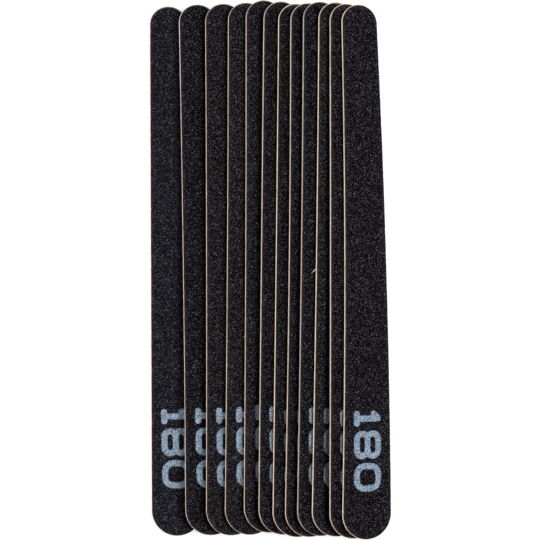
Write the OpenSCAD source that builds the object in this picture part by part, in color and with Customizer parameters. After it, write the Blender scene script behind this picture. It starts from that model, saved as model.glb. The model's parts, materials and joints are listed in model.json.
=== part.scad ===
// Twelve emery boards laid out in a row, each of them leaning on the board before it.
// A board is a thin wood core with a backing paper and a coat of grit on both of its faces.
// X runs along the row, Y points to the narrow ends, Z is up and the table is at z = 0.
// Lengths are in millimetres and angles are in degrees.

/* [Board] */
// Length of a board from end to end
board_length = 178; // [120:1:200]
// Width across the wide round end
wide_end = 17.2; // [15:0.1:20]
// Width across the narrow round end
narrow_end = 12.6; // [9:0.1:14]

/* [Layers] */
// Thickness of the wood core
core_thick = 0.6; // [0.4:0.05:1]
// Thickness of each backing paper
paper_thick = 0.12; // [0.08:0.01:0.2]
// Thickness of each coat of grit
grit_thick = 0.13; // [0.08:0.01:0.2]
// How far the papers and the grit stop short of the core's edge
sheet_inset = 0.18; // [0.02:0.01:0.3]

/* [Row] */
// Distance along X between the right-hand edges of the first and the last board
row_width = 64.0; // [50:0.1:90]
// Gap kept between a board and the board that it leans on
lean_gap = 0.05; // [0.02:0.01:0.2]

/* [Hidden] */
$fn = 96;

// Each line lays one board. The steps along X from board to board share out the width of the
// row. The shift is towards the narrow ends, and the turn is counterclockwise as seen from
// above. The bow is how far a crooked board's middle bends to the right.
STEP = 0;
SHIFT = 1;
TURN = 2;
BOW = 3;
ROW = [
    [0, 0, 1.2, 0],
    [10.9, 0.5, 1.7, 0.3],
    [7.7, 0.5, 1.0, 0.2],
    [6.9, 0.7, 0.5, 0.2],
    [6.1, 1.5, 0.6, 0.2],
    [5.0, 0.9, 0.2, 0],
    [4.9, 0.1, 0.1, 0.1],
    [4.3, 0.2, 0.1, 0.4],
    [3.8, 0.6, 0, 0.3],
    [5.1, 0.4, -0.1, 0.3],
    [4.4, -0.1, 0.6, 0.2],
    [4.9, -0.4, 0.7, 0.9],
];
LAST = len(ROW) - 1;

LAYERS = ["core", "front_paper", "front_grit", "back_paper", "back_grit"];
function node_name(layer, k) = str(layer, k < 9 ? "_0" : "_", k + 1);

// The layers of a board, from the back grit that is its underside
sheet_thick = paper_thick + grit_thick;
board_thick = core_thick + 2 * sheet_thick;
front_paper_z = sheet_thick + core_thick;
front_grit_z = front_paper_z + paper_thick;

// A board's middle line joins the centres of its round ends, and s goes along it from
// 0 at the wide end to 1 at the narrow end
wide_r = wide_end / 2;
narrow_r = narrow_end / 2;
middle_length = board_length - wide_r - narrow_r;
taper = asin((wide_r - narrow_r) / middle_length);
half_span = middle_length * cos(taper) / 2;

// In a board's own frame its underside is at z = 0, and the right-hand edge of its grit
// lies along the Y axis, which it touches at half length where the board is bowed
function radius(s) = wide_r + (narrow_r - wide_r) * s;
function bend(k, s) = ROW[k][BOW] * pow(2 * s - 1, 2);
function middle(k, s) = [sheet_inset - radius(s) - bend(k, s), half_span * (2 * s - 1)];
function heading(k, s) = atan2(wide_r - narrow_r - 4 * ROW[k][BOW] * (2 * s - 1), 2 * half_span);

// The sides pass through these stations. They start a hair inside the round ends, so that
// they cross them at a clear angle.
stretches = 12;
seam = 0.02;
function half_width(s, inset) = radius(s) - inset - (s == 0 || s == 1 ? seam : 0);
function side_point(k, s, inset, angle) = middle(k, s) + half_width(s, inset) * [cos(angle), sin(angle)];

module outline(k, inset) {
    for (s = [0, 1]) translate(middle(k, s)) circle(radius(s) - inset);
    polygon([
        for (i = [0 : stretches]) let (s = i / stretches)
            side_point(k, s, inset, taper - heading(k, s)),
        for (i = [stretches : -1 : 0]) let (s = i / stretches)
            side_point(k, s, inset, 180 - taper - heading(k, s)),
    ]);
}

// Where the boards lie: the line on the table that each board's right-hand edge rests on,
// as a point at its half length and its angle
function sum_steps(k) = k == 0 ? 0 : sum_steps(k - 1) + ROW[k][STEP];
rest_points = [for (k = [0 : LAST]) [row_width * sum_steps(k) / sum_steps(LAST), ROW[k][SHIFT]]];
rest_angles = [for (k = [0 : LAST]) ROW[k][TURN] + taper];
function forwards(k) = [-sin(rest_angles[k]), cos(rest_angles[k])];
function leftwards(k) = [-cos(rest_angles[k]), -sin(rest_angles[k])];
function table_point(k, left, forward) = rest_points[k] + left * leftwards(k) + forward * forwards(k);
function left_of(k, p) = (p - rest_points[k]) * leftwards(k);

// Board k clears the upper right-hand rim of the board below it, which lies at this tilt
function tangent_over_rim(k, below, tilt) = max([
    for (s = [0, 0.5, 1])
        let (
            x = -bend(below, s),
            rim = table_point(below, -x * cos(tilt) - board_thick * sin(tilt), middle(below, s).y),
            rim_z = board_thick * cos(tilt) - x * sin(tilt)
        )
        (rim_z + lean_gap) / left_of(k, rim)
]);

// The left-hand edge of board k clears the upper face of the board below it
function tangent_over_face(k, below, tilt) = max([
    for (s = [0, 1])
        let (
            width = 2 * radius(s),
            edge = table_point(k, width, middle(k, s).y),
            face_z = board_thick / cos(tilt) + left_of(below, edge) * tan(tilt)
        )
        (face_z + lean_gap) / width
]);

// The first board lies flat, and each of the others lifts its left-hand edge onto the one below
function tilts_up_to(k) =
    k == 0 ? [0] :
    let (before = tilts_up_to(k - 1), tilt = before[k - 1])
    concat(before, [atan(max(tangent_over_rim(k, k - 1, tilt), tangent_over_face(k, k - 1, tilt)))]);
tilts = tilts_up_to(LAST);

// The origin is on the table, at the middle of the row's outer sizes. These come from how
// far the round ends of each tilted core reach along X and Y.
function across(k) = let (a = rest_angles[k], t = tilts[k]) [cos(t) * cos(a), cos(t) * sin(a)];
function upright(k) = let (a = rest_angles[k], t = tilts[k]) [sin(t) * cos(a), sin(t) * sin(a)];
function centre(k, s, z) =
    rest_points[k] + middle(k, s).x * across(k) + middle(k, s).y * forwards(k) + z * upright(k);
function reach(k, s, axis) = radius(s) * sqrt(1 - pow(upright(k)[axis], 2));
function spread(axis, side) = [
    for (k = [0 : LAST])
        for (s = [0, 1])
            for (z = [sheet_thick, front_paper_z])
                centre(k, s, z)[axis] + side * reach(k, s, axis)
];
function row_middle(axis) = (min(spread(axis, -1)) + max(spread(axis, 1))) / 2;
origin = [row_middle(0), row_middle(1)];

module lay(k) {
    translate(concat(rest_points[k] - origin, 0)) rotate([0, 0, rest_angles[k]]) rotate([0, tilts[k], 0])
        children();
}

module layer(k, z, thick, inset) {
    lay(k) translate([0, 0, z]) linear_extrude(thick) outline(k, inset);
}

module core(k) {
    color("tan") layer(k, sheet_thick, core_thick, 0);
}

module front_paper(k) {
    color("ivory") layer(k, front_paper_z, paper_thick, sheet_inset);
}

module front_grit(k) {
    color("#242328") layer(k, front_grit_z, grit_thick, sheet_inset);
}

module back_paper(k) {
    color("ivory") layer(k, grit_thick, paper_thick, sheet_inset);
}

module back_grit(k) {
    color("#242328") layer(k, 0, grit_thick, sheet_inset);
}

for (k = [0 : LAST]) {
    core(k);
    front_paper(k);
    front_grit(k);
    back_paper(k);
    back_grit(k);
}
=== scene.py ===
"""Looks for a row of twelve emery boards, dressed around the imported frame.

A board keeps its CAD papers. Its wood core is replaced by a mesh with worn, splintered edges, and
its two coats of grit by meshes with rough faces, of which the upper one carries a printed number.
Lengths are in metres unless a line says otherwise, in the frame's own axes: X across the row, Y to
the narrow ends, Z up. Colours are linear.
"""

import json
import math

import bpy
import numpy as np
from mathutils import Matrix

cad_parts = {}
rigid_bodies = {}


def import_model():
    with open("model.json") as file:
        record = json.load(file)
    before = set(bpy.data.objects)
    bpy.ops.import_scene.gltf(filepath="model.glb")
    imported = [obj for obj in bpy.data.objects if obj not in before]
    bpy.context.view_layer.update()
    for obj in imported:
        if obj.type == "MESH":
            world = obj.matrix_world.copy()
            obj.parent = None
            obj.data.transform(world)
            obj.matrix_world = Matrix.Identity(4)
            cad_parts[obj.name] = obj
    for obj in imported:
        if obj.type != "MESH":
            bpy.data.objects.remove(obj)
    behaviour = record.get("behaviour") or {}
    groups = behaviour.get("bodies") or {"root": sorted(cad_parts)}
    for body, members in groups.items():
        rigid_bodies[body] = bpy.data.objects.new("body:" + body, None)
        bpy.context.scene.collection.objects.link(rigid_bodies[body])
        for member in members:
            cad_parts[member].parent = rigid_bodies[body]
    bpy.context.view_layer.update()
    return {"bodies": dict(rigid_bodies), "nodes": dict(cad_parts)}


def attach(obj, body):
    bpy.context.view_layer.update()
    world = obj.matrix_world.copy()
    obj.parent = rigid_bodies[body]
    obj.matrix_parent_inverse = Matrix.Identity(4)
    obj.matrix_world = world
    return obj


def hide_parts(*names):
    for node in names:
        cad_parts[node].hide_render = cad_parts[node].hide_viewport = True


MM = 0.001
# A gap too small to count
HAIR = 1e-9

# The camera looks down on the row from where the photograph was taken
CAMERA_PLACE = (9.1 * MM, -11.8 * MM, 385 * MM)
CAMERA_TILT = (math.radians(1.63), math.radians(1.33), 0)
CAMERA_LENS = 76.5
CAMERA_CLIP = 10 * MM

# The lamps: the place of each, the length of its sides and its power in watts
SOFTBOXES = {
    "softbox_right": ((0.95, 0.1, 0.66), 0.6, 19),
    "panel_left": ((-1.2, 0, 0.34), 0.4, 20),
}
# What the camera sees of the floor near the row: its glow and its own tone. They fade to a plain
# white glow between two distances from the middle.
FLOOR_GLOW = 0.8
FLOOR_TONE = 0.3
FLOOR_NEAR = 0.18
FLOOR_FAR = 0.9
FLOOR_SIZE = 6
FLOOR_DROP = 0.02 * MM
# What lights the row besides the lamps: the floor's own tone and the strength of the world
FLOOR_PALE = 0.8
WORLD_LIGHT = 0.04

# The printed number: its characters and their widths beside each other, and its box, which starts
# this far from the wide end
MARK_TEXT = "180"
MARK_WIDTHS = {"1": 0.55, "8": 1.0, "0": 1.0}
MARK_START = 15.7 * MM
MARK_LENGTH = 26.5 * MM
MARK_HEIGHT = 9.5 * MM
# The width of its strokes, the gap between its characters, and how far out of the middle it may lie
MARK_STROKE = 2 * MM
MARK_GAP = 1.4 * MM
MARK_SLIP = 0.15 * MM
# How round the 0 is, as a share of its width, and how far below the top the flag of the 1 starts
ZERO_ROUND = 0.36
ONE_FLAG = 1.6 * MM

# The grit's rough face: how deep the pits between its grains go, what share of that its tallest
# grains stand above the CAD face, how far apart they lie, and the share and pitch of broader bumps
GRAIN_DEPTH = 0.06 * MM
GRAIN_RISE = 0.2
GRAIN_PITCH = 0.2 * MM
BROAD_SHARE = 0.25
BROAD_PITCH = 2.1 * GRAIN_PITCH
# Its edges: how far in they are worn down, and by what share of the pits' depth
EDGE_WEAR = 0.2 * MM
EDGE_DROP = 0.5
# The flakes at its sides: the depth of the deepest, the shares and pitches of the noise that makes
# them, the noise where one starts and how much more makes it full, and a fine raggedness
FLAKE_DEPTH = 0.14 * MM
FLAKE_NOISE = ((0.55, 1.6 * MM), (0.45, 0.5 * MM))
FLAKE_FROM = 0.6
FLAKE_OVER = 0.3
FLAKE_RAGGED = 0.12
# A row narrower than this share of this width doesn't flake, and one wider by the width does fully
FLAKE_NONE = 0.2
FLAKE_WIDTH = 8 * MM
# Its round ends: their length, their rows of points, the wear at the wide and at the narrow one, and
# the factors between which that of a single end lies
ROUND_END = 6 * MM
ROUND_ROWS = 36
END_WEAR = (0.06 * MM, 0.26 * MM)
END_FACTORS = (0.7, 1.3)
# How far in from its edges it looks dusty and lighter: partly dust, partly a painted highlight
DUST_AND_HIGHLIGHT_REACH = 0.45 * MM
# How finely each face is cut: its columns, and the steps between its rows outside and inside a box
# that goes this far beyond the printed number
MARK_MARGIN = 1 * MM
FACES = {
    "front": dict(side=1, columns=96, step=0.33 * MM, mark_step=0.15 * MM, marked=True),
    "back": dict(side=-1, columns=40, step=0.4 * MM, mark_step=0.4 * MM, marked=False),
}

# The core's edge: how much its corners are rounded, the step along it, how ragged it is, the shares
# and pitches of that noise, and how far from the loop's seam it fades in
CORE_ROUND = 0.18 * MM
CORE_STEP = 0.35 * MM
CORE_RAGGED = 0.03 * MM
CORE_NOISE = ((1, 0.7 * MM), (0.5, 3 * MM))
CORE_FADE = 4 * MM
# Its splinters: how many there are, how deep their roots are, the range of their heights as a share
# of half the core's, and the ranges of their lengths and of their thicknesses in mm
SPLINTERS = 7
SPLINTER_ROOT = 0.08 * MM
SPLINTER_HEIGHTS = (-0.3, 0.6)
SPLINTER_LENGTHS = (0.5, 1.6)
SPLINTER_THICKS = (0.03, 0.06)
# The fibres that stick out of a left-hand edge: how deep their roots are and how high as a share of
# half the core's height, and then, for the core of each, its place along Y, how far it heads out,
# back along Y and up, its length and its thickness
FIBRE_ROOT = 0.1 * MM
FIBRE_HEIGHT = 0.7
FIBRES = {
    5: (-22.6 * MM, (0.5, 1.0, 0.1), 1.0 * MM, 0.22 * MM),
    10: (-0.6 * MM, (1.0, 0.9, 0.1), 3.0 * MM, 0.2 * MM),
}

# The size of the grains that have a colour each, that of the ink's specks, and how far the ink's
# edge wanders, in mm
GRAIN_SIZE = 0.17 * MM
INK_GRAIN = 0.24 * MM
INK_RAGGED = 0.25
GRIT_DARK = (0.0010, 0.0009, 0.0013, 1)
GRIT_MID = (0.0031, 0.0028, 0.0038, 1)
GRIT_LIGHT = (0.0160, 0.0148, 0.0195, 1)
GRIT_BRIGHT = (0.068, 0.062, 0.083, 1)
GRIT_GLINT = (0.26, 0.25, 0.31, 1)
# The pale colour mixed into the grit near its edges: partly dust, partly a painted highlight
GRIT_DUST_AND_HIGHLIGHT = (0.052, 0.047, 0.047, 1)
# Painted light and shade: a board's grit is darker or lighter, as if lit less or more, by these
# shares of red, green and blue, raised to one power for its dull grains and to another for those
# that glint. A board that isn't listed is plain.
DULL_POWER = 3
GLINT_POWER = 0.5
GRIT_PAINTED_LIGHT_SHARES = {
    "grit_plain": (1.12, 1.09, 1.04),
    "grit_painted_lit": (1.20, 1.22, 1.20),
    "grit_painted_shade_soft": (0.95, 0.93, 0.90),
    "grit_painted_shade_deep": (0.84, 0.81, 0.77),
}
GRIT_OF_BOARD = {
    1: "grit_painted_lit",
    2: "grit_painted_shade_soft",
    6: "grit_painted_shade_deep",
    7: "grit_painted_shade_deep",
    8: "grit_painted_shade_deep",
    9: "grit_painted_shade_deep",
    11: "grit_painted_shade_deep",
    12: "grit_painted_shade_soft",
}
INK_DARK = (0.055, 0.075, 0.095, 1)
INK_MID = (0.330, 0.412, 0.515, 1)
INK_LIGHT = (0.530, 0.655, 0.810, 1)

# How long the paper's fibres, the wood's grain and its scorched stretches are across, along and
# through a board
PAPER_FIBRE = (0.1 * MM, 0.6 * MM, 0.05 * MM)
WOOD_GRAIN = (0.12 * MM, 4 * MM, 0.07 * MM)
WOOD_STRETCH = (3 * MM, 7 * MM, 3 * MM)
PAPER_LIGHT = (0.56, 0.44, 0.30, 1)
PAPER_DARK = (0.33, 0.24, 0.15, 1)
# The light and the dark wood of each kind of core. Besides the wood's own tints, the kinds paint
# light and shade on a core's edge: pale where it is lit more, dull where it is lit less. The core of
# a board that isn't listed is warm.
CORE_WOODS = {
    "pale": ((0.96, 0.77, 0.63, 1), (0.64, 0.48, 0.35, 1)),
    "warm": ((0.82, 0.64, 0.53, 1), (0.49, 0.34, 0.23, 1)),
    "tan": ((0.77, 0.64, 0.55, 1), (0.46, 0.35, 0.27, 1)),
    "dull": ((0.54, 0.48, 0.46, 1), (0.32, 0.27, 0.25, 1)),
    "grey": ((0.84, 0.76, 0.70, 1), (0.53, 0.46, 0.40, 1)),
}
CORE_OF_BOARD = {
    2: "grey",
    3: "tan",
    4: "tan",
    6: "tan",
    7: "pale",
    9: "dull",
    10: "pale",
    12: "pale",
}
# A stretch of a core that has its own colour: the middle of it and half its length along Y
STAINS = {
    2: (73 * MM, 14 * MM, (0.97, 0.95, 0.92, 1)),
    12: (29 * MM, 2.6 * MM, (0.96, 0.74, 0.38, 1)),
}


def grey(value):
    return (value, value, value, 1)


class Nodes:
    """Builds the node tree of a material or world. A value that is a socket is linked."""

    def __init__(self, owner, shader="Principled BSDF"):
        owner.use_nodes = True
        self.owner = owner
        self.tree = owner.node_tree
        self.shader = self.tree.nodes[shader]

    def add(self, kind, inputs, **settings):
        node = self.tree.nodes.new(kind)
        for name, value in settings.items():
            setattr(node, name, value)
        for name, value in inputs.items():
            self.set(node, name, value)
        return node

    def set(self, node, name, value):
        if isinstance(value, bpy.types.NodeSocket):
            self.tree.links.new(value, node.inputs[name])
        else:
            node.inputs[name].default_value = value

    def finish(self, **inputs):
        """Sets the shader's inputs, in whose names an underscore stands for a space."""
        for name, value in inputs.items():
            self.set(self.shader, name.replace("_", " "), value)
        return self.owner

    def place(self, stretch=(1, 1, 1)):
        """The point on the object, with its axes divided by the given lengths."""
        point = self.add("ShaderNodeTexCoord", {}).outputs["Object"]
        scale = tuple(1 / s for s in stretch)
        return self.add("ShaderNodeMapping", {"Vector": point, "Scale": scale}).outputs[0]

    def attribute(self, name):
        return self.add("ShaderNodeAttribute", {}, attribute_name=name).outputs["Fac"]

    def number(self, operation, *values):
        """The result of a Math node."""
        inputs = dict(enumerate(values))
        return self.add("ShaderNodeMath", inputs, operation=operation).outputs[0]

    def vector(self, operation, inputs):
        """The result of a Vector Math node."""
        return self.add("ShaderNodeVectorMath", inputs, operation=operation).outputs[0]

    def cell_colours(self, place, size, seed=0):
        """A random colour for each cell of the given size."""
        shifted = self.vector("ADD", {0: place, 1: (seed, seed, seed)})
        voronoi = self.add("ShaderNodeTexVoronoi", {"Vector": shifted, "Scale": 1 / size})
        return voronoi.outputs["Color"]

    def cells(self, place, size, seed=0):
        """A random number for each cell of the given size."""
        colours = self.cell_colours(place, size, seed)
        return self.add("ShaderNodeSeparateColor", {"Color": colours}).outputs["Red"]

    def noise(self, place, detail):
        """Noise from 0 to 1 with bumps of about one unit."""
        inputs = {"Vector": place, "Scale": 1, "Detail": detail}
        return self.add("ShaderNodeTexNoise", inputs).outputs["Fac"]

    def ramp(self, value, *stops):
        node = self.add("ShaderNodeValToRGB", {"Fac": value})
        while len(node.color_ramp.elements) < len(stops):
            node.color_ramp.elements.new(0.5)
        for element, (position, colour) in zip(node.color_ramp.elements, stops):
            element.position = position
            element.color = colour if isinstance(colour, tuple) else grey(colour)
        return node.outputs["Color"]

    def mix(self, share, first, second):
        """A blend of two colours, from a Mix node's inputs 6 and 7 to its output 2."""
        node = self.add("ShaderNodeMix", {"Factor": share}, data_type="RGBA")
        self.set(node, 6, first)
        self.set(node, 7, second)
        return node.outputs[2]

    def facets(self, place, size, slope):
        """The surface's normal, turned at random by up to this slope in each cell."""
        centred = self.vector("SUBTRACT", {0: self.cell_colours(place, size), 1: (0.5, 0.5, 0.5)})
        turned = self.vector("SCALE", {0: centred, "Scale": 2 * slope})
        normal = self.add("ShaderNodeNewGeometry", {}).outputs["Normal"]
        return self.vector("NORMALIZE", {0: self.vector("ADD", {0: normal, 1: turned})})

    def bump(self, height, depth):
        return self.add("ShaderNodeBump", {"Height": height, "Distance": depth}).outputs[0]


def shaded(colour, shares, power):
    return (*(part * share**power for part, share in zip(colour, shares)), 1)


def grit_material(name):
    """Black mineral grains in dark resin, with grey-blue ink where the number is printed.

    Most grains are dull and a few glint, as painted highlights in their colour. The ink ends at whole
    grains.
    """
    n = Nodes(bpy.data.materials.new(name))
    shares = GRIT_PAINTED_LIGHT_SHARES[name]
    dull = (GRIT_DARK, GRIT_MID, GRIT_LIGHT)
    dark, mid, light = (shaded(colour, shares, DULL_POWER) for colour in dull)
    bright, glint = (shaded(colour, shares, GLINT_POWER) for colour in (GRIT_BRIGHT, GRIT_GLINT))
    place = n.place()
    grain = n.cells(place, GRAIN_SIZE)
    tone = n.ramp(grain, (0.0, dark), (0.55, mid), (0.8, light), (0.95, bright), (1.0, glint))
    # Near its edges the grit is mixed with a pale colour: partly dust, partly a painted highlight
    tone = n.mix(n.ramp(n.attribute("dust_and_edge_highlight"), (0.0, 0.0), (1.0, 0.6)), tone, GRIT_DUST_AND_HIGHLIGHT)
    speck = n.cells(place, INK_GRAIN, seed=3)
    ink = n.ramp(speck, (0.0, INK_DARK), (0.5, INK_MID), (1.0, INK_LIGHT))
    # A grain is inked where its own luck and its reach into the number add up to enough
    luck = n.cells(place, GRAIN_SIZE, seed=5)
    reach = n.number("MULTIPLY_ADD", luck, INK_RAGGED, n.attribute("ink_reach"))
    covered = n.number("GREATER_THAN", reach, INK_RAGGED / 2)
    roughness = n.ramp(n.cells(place, GRAIN_SIZE, seed=7), (0.0, 0.35), (1.0, 0.6))
    return n.finish(
        Base_Color=n.mix(covered, tone, ink),
        Roughness=roughness,
        Normal=n.facets(place, GRAIN_SIZE, 0.5),
        Specular_IOR_Level=0.008,
        Diffuse_Roughness=1.0,
    )


def paper_material():
    """The backing paper's cut edge: tan, with short fibres."""
    n = Nodes(bpy.data.materials.new("paper_backing"))
    fibres = n.noise(n.place(PAPER_FIBRE), detail=3)
    tone = n.ramp(fibres, (0.35, PAPER_DARK), (0.6, PAPER_LIGHT))
    return n.finish(Base_Color=tone, Roughness=0.9, Normal=n.bump(fibres, 0.02 * MM))


def wood_material(k):
    """The cut edge of core k: pale wood with its grain along the board and scorched stretches."""
    # The core's wood: partly its own tint, partly painted light and shade on its edge
    light, dark = CORE_WOODS[CORE_OF_BOARD.get(k, "warm")]
    n = Nodes(bpy.data.materials.new(f"core_wood_{k:02d}"))
    grain = n.noise(n.place(WOOD_GRAIN), detail=4)
    stretch = n.noise(n.place(WOOD_STRETCH), detail=2)
    streaks = n.ramp(grain, (0.34, dark), (0.52, light))
    tone = n.mix(n.ramp(stretch, (0.45, 0.0), (0.75, 0.4)), streaks, dark)
    if k in STAINS:
        middle, half, colour = STAINS[k]
        along = n.add("ShaderNodeSeparateXYZ", {0: n.place()}).outputs["Y"]
        from_middle = n.number("ABSOLUTE", n.number("SUBTRACT", along, middle))
        fade = n.ramp(n.number("DIVIDE", from_middle, half), (0.7, 0.85), (1.0, 0.0))
        tone = n.mix(fade, tone, colour)
    return n.finish(Base_Color=tone, Roughness=0.8, Normal=n.bump(grain, 0.04 * MM))


def dress(obj, material):
    """Gives an object this material in place of those it came with."""
    obj.data.materials.clear()
    obj.data.materials.append(material)


def new_object(name, data):
    """An object in the scene that shows this mesh, lamp or camera."""
    obj = bpy.data.objects.new(name, data)
    bpy.context.scene.collection.objects.link(obj)
    return obj


def new_piece(name, points, faces, material):
    mesh = bpy.data.meshes.new(name)
    mesh.from_pydata(points, [], faces)
    mesh.update()
    piece = new_object(name, mesh)
    dress(piece, material)
    return piece


def mark_points(piece, name, values):
    """Keeps a number for each point of a piece, which its material reads."""
    attribute = piece.data.attributes.new(name, "FLOAT", "POINT")
    attribute.data.foreach_set("value", values.astype(np.float32))


class Sheet:
    """Where a flat CAD node lies, and its outline.

    Its axes are across the board, along it to the narrow end, and out of it on the given side.
    Its origin is the middle of the node.
    """

    def __init__(self, node, side):
        points = np.unique(np.array([v.co for v in node.data.vertices]).round(8), axis=0)
        self.centre = points.mean(axis=0)
        directions = np.linalg.svd(points - self.centre, full_matrices=False)[2]
        along = directions[0] * np.sign(directions[0][1])
        out = directions[2] * np.sign(directions[2][2]) * side
        self.measure(points, along, out)
        # One side may have more points than the other, so the axis is then laid through the middle
        places = self.low + (self.high - self.low) * np.array([0.1, 0.9])
        middles = (self.side_at(0, places) + self.side_at(1, places)) / 2
        ends = self.world(np.stack([middles, places, np.zeros(2)], axis=1))
        self.centre = ends.mean(axis=0)
        along = ends[1] - ends[0]
        self.measure(points, along / np.linalg.norm(along), out)

    def measure(self, points, along, out):
        """Sets the axes and reads the outline in them, with the sheet's middle at z = 0."""
        self.axes = np.array([np.cross(along, out), along, out])
        heights = (points - self.centre) @ out
        self.centre = self.centre + out * (heights.min() + heights.max()) / 2
        local = (points - self.centre) @ self.axes.T
        self.top = local[:, 2].max()
        face = local[local[:, 2] > 0]
        self.low, self.high = face[:, 1].min(), face[:, 1].max()
        first, last = face[face[:, 1].argmin()], face[face[:, 1].argmax()]
        middle = np.interp(face[:, 1], (first[1], last[1]), (first[0], last[0]))
        left = face[face[:, 0] <= middle + HAIR]
        right = face[face[:, 0] >= middle - HAIR]
        self.sides = [self.chain(left), self.chain(right)]

    @staticmethod
    def chain(points):
        """The points in order along the board, without their heights."""
        return points[points[:, 1].argsort()][:, :2]

    def side_at(self, which, y):
        """Where side 0, the left, or side 1, the right, is at these places along the board."""
        chain = self.sides[which]
        return np.interp(y, chain[:, 1], chain[:, 0])

    def world(self, points):
        return points @ self.axes + self.centre


def fine_steps(start, end, step):
    """Evenly spaced numbers from start up to but not including end, about this far apart."""
    count = max(1, round((end - start) / step))
    return start + (end - start) * np.arange(count) / count


def row_places(sheet, step, mark_step):
    """The places along a sheet of its rows of points, closer in its round ends and in its mark."""
    into_end = ROUND_END * (np.arange(1, ROUND_ROWS + 1) / ROUND_ROWS) ** 2
    mark_low = sheet.low + MARK_START - MARK_MARGIN
    mark_high = mark_low + MARK_LENGTH + 2 * MARK_MARGIN
    middle = [
        fine_steps(sheet.low + ROUND_END, mark_low, step)[1:],
        fine_steps(mark_low, mark_high, mark_step),
        fine_steps(mark_high, sheet.high - ROUND_END, step),
    ]
    return np.concatenate([sheet.low + into_end, *middle, (sheet.high - into_end)[::-1]])


def smooth(t):
    """A number from 0 to 1, eased at both ends."""
    return t**2 * (3 - 2 * t)


def lattice_noise(x, y, pitch, rng):
    """Smooth noise from 0 to 1 over points, with bumps about this far apart."""
    i, j = (x - x.min()) / pitch, (y - y.min()) / pitch
    corners = rng.random((int(i.max()) + 2, int(j.max()) + 2))
    i0, j0 = i.astype(int), j.astype(int)
    s, t = smooth(i - i0), smooth(j - j0)
    low = corners[i0, j0] * (1 - s) + corners[i0 + 1, j0] * s
    high = corners[i0, j0 + 1] * (1 - s) + corners[i0 + 1, j0 + 1] * s
    return low * (1 - t) + high * t


def waves(places, pitch, rng):
    """Smooth noise from 0 to 1 along a line, with bumps about this far apart."""
    i = (places - places.min()) / pitch
    corners = rng.random(int(i.max()) + 2)
    i0 = i.astype(int)
    t = smooth(i - i0)
    return corners[i0] * (1 - t) + corners[i0 + 1] * t


def layered_waves(places, layers, rng):
    """Waves of several shares and pitches, added up."""
    return sum(share * waves(places, pitch, rng) for share, pitch in layers)


def rounded_loop(x0, y0, x1, y1, r):
    """A closed path round a box with round corners."""
    path = []
    corners = [(x1 - r, y1 - r), (x0 + r, y1 - r), (x0 + r, y0 + r), (x1 - r, y0 + r)]
    for quarter, (x, y) in enumerate(corners):
        for step in range(7):
            angle = math.radians(90 * quarter + 15 * step)
            path.append((x + r * math.cos(angle), y + r * math.sin(angle)))
    return path + path[:1]


def digit_paths(digit, width, height):
    """The middle lines of a digit's strokes, in a box whose lower left corner is the origin."""
    left = foot = MARK_STROKE / 2
    right, head = width - left, height - foot
    middle = height / 2
    if digit == "0":
        radius = min(right - left, head - foot) * ZERO_ROUND
        return [rounded_loop(left, foot, right, head, radius)]
    if digit == "8":
        radius = (head - middle) / 2
        lower = rounded_loop(left, foot, right, middle, radius)
        return [lower, rounded_loop(left, middle, right, head, radius)]
    stem = width / 2
    return [[(left, head - ONE_FLAG), (stem, head), (stem, foot)], [(left, foot), (right, foot)]]


def mark_paths():
    """The strokes of the printed number, with x along its line of text and y up its characters."""
    spare = MARK_LENGTH - MARK_GAP * (len(MARK_TEXT) - 1)
    unit = spare / sum(MARK_WIDTHS[digit] for digit in MARK_TEXT)
    paths, start = [], 0
    for digit in MARK_TEXT:
        width = unit * MARK_WIDTHS[digit]
        for path in digit_paths(digit, width, MARK_HEIGHT):
            paths.append([(start + x, y) for x, y in path])
        start += width + MARK_GAP
    return paths


def distance_to_paths(x, y, paths):
    """How far each point is from the nearest of the paths."""
    nearest = np.full(x.shape, 1.0)
    for path in paths:
        for (x0, y0), (x1, y1) in zip(path, path[1:]):
            dx, dy = x1 - x0, y1 - y0
            # A path may hold the same point twice, and a length of zero can't divide
            square = max(dx * dx + dy * dy, 1e-18)
            t = np.clip(((x - x0) * dx + (y - y0) * dy) / square, 0, 1)
            nearest = np.minimum(nearest, np.hypot(x - x0 - t * dx, y - y0 - t * dy))
    return nearest


def ink_reach(sheet, x, y, grains, slip):
    """How far inside the printed number points are, in mm, less where the grains are low.

    The number reads towards the wide end.
    """
    text_x = sheet.low + MARK_START + MARK_LENGTH - y
    text_y = x - (sheet.side_at(0, y) + sheet.side_at(1, y)) / 2 + MARK_HEIGHT / 2 - slip
    ragged = INK_RAGGED * MM * (0.5 - grains)
    inside = MARK_STROKE / 2 - distance_to_paths(text_x, text_y, mark_paths()) - ragged
    return np.maximum(inside / MM, -1)


def flakes(rows, widths, rng):
    """How far the grit has flaked off at one side of each row. The round ends keep theirs."""
    noise = layered_waves(rows, FLAKE_NOISE, rng)
    missing = np.clip((noise - FLAKE_FROM) / FLAKE_OVER, 0, 1)
    missing = missing + FLAKE_RAGGED * rng.random(rows.shape)
    return FLAKE_DEPTH * missing * np.clip(widths / FLAKE_WIDTH - FLAKE_NONE, 0, 1)


def worn_ends(sheet, rows, rng):
    """The rows, drawn in where the round ends are worn, and where they then begin and end."""
    start, end = (wear * rng.uniform(*END_FACTORS) for wear in END_WEAR)
    into_start = np.clip(1 - (rows - sheet.low) / ROUND_END, 0, 1)
    into_end = np.clip(1 - (sheet.high - rows) / ROUND_END, 0, 1)
    return rows + start * into_start - end * into_end, sheet.low + start, sheet.high - end


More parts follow.
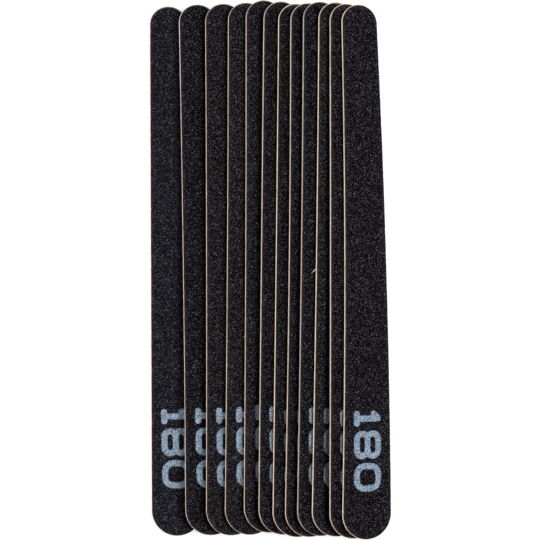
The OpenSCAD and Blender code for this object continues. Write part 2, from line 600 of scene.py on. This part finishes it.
def closed_faces(count, columns):
    """The faces of a closed sheet with this many rows.

    Its points are those of its outer face, row by row, then one under the left end of each row, and
    then one under the right end of each.
    """
    index = np.arange(count * (columns + 1)).reshape(count, columns + 1)
    outer = np.stack([index[:-1, :-1], index[:-1, 1:], index[1:, 1:], index[1:, :-1]], axis=2)
    left = index.size + np.arange(count)
    right = left + count
    walls = [
        np.stack([index[:-1, 0], index[1:, 0], left[1:], left[:-1]], axis=1),
        np.stack([index[1:, -1], index[:-1, -1], right[:-1], right[1:]], axis=1),
        np.stack([left[:-1], left[1:], right[1:], right[:-1]], axis=1),
    ]
    ends = [[*index[0][::-1], left[0], right[0]], [*index[-1], right[-1], left[-1]]]
    return [*outer.reshape(-1, 4).tolist(), *np.concatenate(walls).tolist(), *ends]


def rough_face(name, node, side, columns, step, mark_step, seed, marked, material):
    """A coat of grit in place of a CAD node: a closed sheet whose outer face is made of grains."""
    sheet = Sheet(node, side)
    rng = np.random.default_rng(seed)
    rows = row_places(sheet, step, mark_step)
    left, right = sheet.side_at(0, rows), sheet.side_at(1, rows)
    widths = right - left
    left = left + flakes(rows, widths, rng)
    right = right - flakes(rows, widths, rng)
    rows, low, high = worn_ends(sheet, rows, rng)
    x = left[:, None] + (right - left)[:, None] * np.linspace(0, 1, columns + 1)
    y = np.repeat(rows[:, None], columns + 1, axis=1)
    to_side = np.minimum(x - left[:, None], right[:, None] - x)
    to_edge = np.minimum(to_side, np.minimum(y - low, high - y))
    grains = (1 - BROAD_SHARE) * lattice_noise(x, y, GRAIN_PITCH, rng)
    grains = grains + BROAD_SHARE * lattice_noise(x, y, BROAD_PITCH, rng)
    worn = EDGE_DROP * GRAIN_DEPTH * np.clip(1 - to_edge / EDGE_WEAR, 0, 1)
    z = sheet.top - GRAIN_DEPTH * (1 - grains) + GRAIN_RISE * GRAIN_DEPTH - worn
    face = np.stack([x, y, z], axis=2).reshape(-1, 3)
    back = np.full(rows.shape, -sheet.top)
    under = [np.stack([edge, rows, back], axis=1) for edge in (left, right)]
    points = sheet.world(np.concatenate([face, *under]))
    piece = new_piece(name, points, closed_faces(len(rows), columns), material)
    # How much each point is lightened near the edges: partly dust, partly a painted highlight
    dust_and_edge_highlight = np.ones(len(points))
    dust_and_edge_highlight[: len(face)] = np.exp(-to_edge.reshape(-1) / DUST_AND_HIGHLIGHT_REACH)
    mark_points(piece, "dust_and_edge_highlight", dust_and_edge_highlight)
    reach = np.full(len(points), -1.0)
    if marked:
        slip = MARK_SLIP * rng.uniform(-1, 1)
        reach[: len(face)] = ink_reach(sheet, face[:, 0], face[:, 1], grains.reshape(-1), slip)
    mark_points(piece, "ink_reach", reach)
    return piece


def outline_loop(sheet, step):
    """Evenly spaced points round a sheet's outline, counterclockwise, with the way out at each."""
    corners = np.concatenate([sheet.sides[1], sheet.sides[0][::-1][1:-1]])
    corners = np.concatenate([corners, corners[:1]])
    run = np.concatenate([[0], np.cumsum(np.linalg.norm(np.diff(corners, axis=0), axis=1))])
    places = np.linspace(0, run[-1], round(run[-1] / step), endpoint=False)
    loop = np.stack([np.interp(places, run, corners[:, axis]) for axis in (0, 1)], axis=1)
    tangents = np.roll(loop, -2, axis=0) - np.roll(loop, 2, axis=0)
    tangents /= np.linalg.norm(tangents, axis=1)[:, None]
    return loop, np.stack([tangents[:, 1], -tangents[:, 0]], axis=1)


def splinter(start, direction, lift, length, thick, curl=0.35):
    """A sliver of wood from a three-sided base to a tip: its points and its faces.

    It curves towards the lift, by the share of its length that curl is.
    """
    points, rings = [], 3
    side = np.cross(direction, lift)
    for ring in range(rings):
        t = ring / rings
        middle = start + direction * length * t + lift * length * curl * t * t
        for corner in range(3):
            angle = 2 * math.pi * corner / 3
            spoke = math.cos(angle) * lift + math.sin(angle) * side
            points.append(middle + thick * (1 - t) * spoke)
    points.append(start + direction * length + lift * length * curl)
    faces = [(2, 1, 0)]
    for ring in range(rings - 1):
        for corner in range(3):
            a, b = 3 * ring + corner, 3 * ring + (corner + 1) % 3
            faces.append((a, b, b + 3, a + 3))
    last = 3 * (rings - 1)
    faces += [(last + corner, last + (corner + 1) % 3, 3 * rings) for corner in range(3)]
    return points, faces


def small_splinter(sheet, loop, outward, rng):
    """A fine splinter at a random place, along the core's edge and a little out of it."""
    i = rng.integers(len(loop))
    along = np.array([-outward[i][1], outward[i][0], 0]) * rng.choice([-1, 1])
    out = np.array([*outward[i], 0.4])
    height = rng.uniform(*SPLINTER_HEIGHTS) * sheet.top
    start = np.array([*(loop[i] - outward[i] * SPLINTER_ROOT), height])
    length = rng.uniform(*SPLINTER_LENGTHS) * MM
    thick = rng.uniform(*SPLINTER_THICKS) * MM
    return splinter(start, along, out / np.linalg.norm(out), length, thick)


def fibre(k, sheet, loop, outward):
    """The larger fibre of core k, at the point of its left-hand edge that is nearest to its place."""
    place, (out, back, up), length, thick = FIBRES[k]
    heights = np.zeros((len(loop), 1))
    off = np.abs(sheet.world(np.concatenate([loop, heights], axis=1))[:, 1] - place)
    i = np.where(outward[:, 0] < -0.9, off, 1).argmin()
    direction = np.array([out * outward[i][0], out * outward[i][1] - back, up])
    direction = direction / np.linalg.norm(direction)
    start = np.array([*(loop[i] - outward[i] * FIBRE_ROOT), FIBRE_HEIGHT * sheet.top])
    return splinter(start, direction, np.array([0, 0, 1]), length, thick, curl=0.1)


def core_profile(top):
    """How far out and how high the rings of the core's rounded edge are, from its top down."""
    angles = [math.radians(90 - 22.5 * step) for step in range(5)]
    upper = [
        (CORE_ROUND * (math.cos(a) - 1), top - CORE_ROUND * (1 - math.sin(a))) for a in angles
    ]
    return [*upper, *[(offset, -height) for offset, height in reversed(upper)]]


def core_edges(name, node, k, material):
    """The wood core in place of its CAD node, with rounded, ragged edges and a few splinters."""
    sheet = Sheet(node, 1)
    rng = np.random.default_rng(200 + k)
    loop, outward = outline_loop(sheet, CORE_STEP)
    count = len(loop)
    places = CORE_STEP * np.arange(count)
    fade = np.clip(np.minimum(places, places[::-1]) / CORE_FADE, 0, 1)
    ragged = fade * CORE_RAGGED * layered_waves(places, CORE_NOISE, rng)
    profile = core_profile(sheet.top)
    rings = []
    for offset, height in profile:
        # The flat faces stay straight at their rims, and the middle of the edge is ragged
        share = 1 + offset / CORE_ROUND
        flat = loop + outward * (offset - ragged * share)[:, None]
        rings.append(np.concatenate([flat, np.full((count, 1), height)], axis=1))
    points = np.concatenate(rings).tolist()
    here, ahead = np.arange(count), np.roll(np.arange(count), -1)
    last = count * (len(profile) - 1)
    faces = [list(range(count)), list(range(last, last + count))[::-1]]
    for ring in range(len(profile) - 1):
        a, b = count * ring, count * (ring + 1)
        faces += np.stack([b + here, b + ahead, a + ahead, a + here], axis=1).tolist()
    extras = [small_splinter(sheet, loop, outward, rng) for _ in range(SPLINTERS)]
    if k in FIBRES:
        extras.append(fibre(k, sheet, loop, outward))
    for extra, extra_faces in extras:
        faces += [[len(points) + corner for corner in face] for face in extra_faces]
        points += [list(point) for point in extra]
    return new_piece(name, sheet.world(np.array(points)), faces, material)


def dress_board(nodes, k, looks):
    """Gives board k its materials, its core's edges and its rough faces."""
    body = f"board_{k:02d}"
    core = core_edges(f"core_edges_{k:02d}", nodes[f"core_{k:02d}"], k, wood_material(k))
    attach(core, body)
    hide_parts(f"core_{k:02d}")
    for side in FACES:
        dress(nodes[f"{side}_paper_{k:02d}"], looks["paper"])
    # The grit of each board, darker or lighter as painted light and shade
    grit = looks[GRIT_OF_BOARD.get(k, "grit_plain")]
    for number, (side, settings) in enumerate(FACES.items()):
        node = f"{side}_grit_{k:02d}"
        settings = dict(settings, seed=100 * number + k, material=grit)
        piece = rough_face(f"{side}_grit_face_{k:02d}", nodes[node], **settings)
        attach(piece, body)
        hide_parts(node)


def seen_rays(n):
    """1 for the rays that show a background: from the camera, mirrored or through glass."""
    path = n.add("ShaderNodeLightPath", {})
    seen = path.outputs["Is Camera Ray"]
    for name in ("Is Glossy Ray", "Is Transmission Ray"):
        seen = n.number("MAXIMUM", seen, path.outputs[name])
    return seen


def make_floor():
    """A plain white table top. The camera sees it as white, with the row's shadow kept faint."""
    n = Nodes(bpy.data.materials.new("floor_white"))
    seen = seen_rays(n)
    place = n.add("ShaderNodeTexCoord", {}).outputs["Object"]
    length = n.add("ShaderNodeVectorMath", {0: place}, operation="LENGTH")
    distance = length.outputs["Value"]
    near_glow = n.ramp(distance, (FLOOR_NEAR, FLOOR_GLOW), (FLOOR_FAR, 1.0))
    near_tone = n.ramp(distance, (FLOOR_NEAR, FLOOR_TONE), (FLOOR_FAR, 0.0))
    material = n.finish(
        Base_Color=n.mix(seen, grey(FLOOR_PALE), near_tone),
        Roughness=1.0,
        Specular_IOR_Level=0,
        Emission_Color=n.mix(seen, grey(0), near_glow),
        Emission_Strength=1.0,
    )
    bpy.ops.mesh.primitive_plane_add(size=FLOOR_SIZE, location=(0, 0, -FLOOR_DROP))
    floor = bpy.context.object
    floor.name = "floor"
    dress(floor, material)


def make_world():
    """White where the camera sees it, and otherwise a weak light from all round."""
    world = bpy.data.worlds.new("studio")
    n = Nodes(world, "Background")
    n.finish(Color=grey(1), Strength=n.mix(seen_rays(n), grey(WORLD_LIGHT), grey(1)))
    bpy.context.scene.world = world


def make_softboxes():
    """Square soft lights that face the middle of the row."""
    for name, (place, size, power) in SOFTBOXES.items():
        light = bpy.data.lights.new(name, "AREA")
        light.size = size
        light.energy = power
        lamp = new_object(name, light)
        lamp.location = place
        lamp.rotation_euler = lamp.location.to_track_quat("Z", "Y").to_euler()


def make_camera():
    data = bpy.data.cameras.new("camera")
    data.lens = CAMERA_LENS
    data.clip_start = CAMERA_CLIP
    camera = new_object("camera", data)
    camera.location = CAMERA_PLACE
    camera.rotation_euler = CAMERA_TILT
    bpy.context.scene.camera = camera


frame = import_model()
bpy.context.scene.view_settings.view_transform = "Standard"

looks = {name: grit_material(name) for name in GRIT_PAINTED_LIGHT_SHARES}
looks["paper"] = paper_material()
for number in range(1, len(frame["bodies"]) + 1):
    dress_board(frame["nodes"], number, looks)
make_floor()
make_softboxes()
make_world()
make_camera()
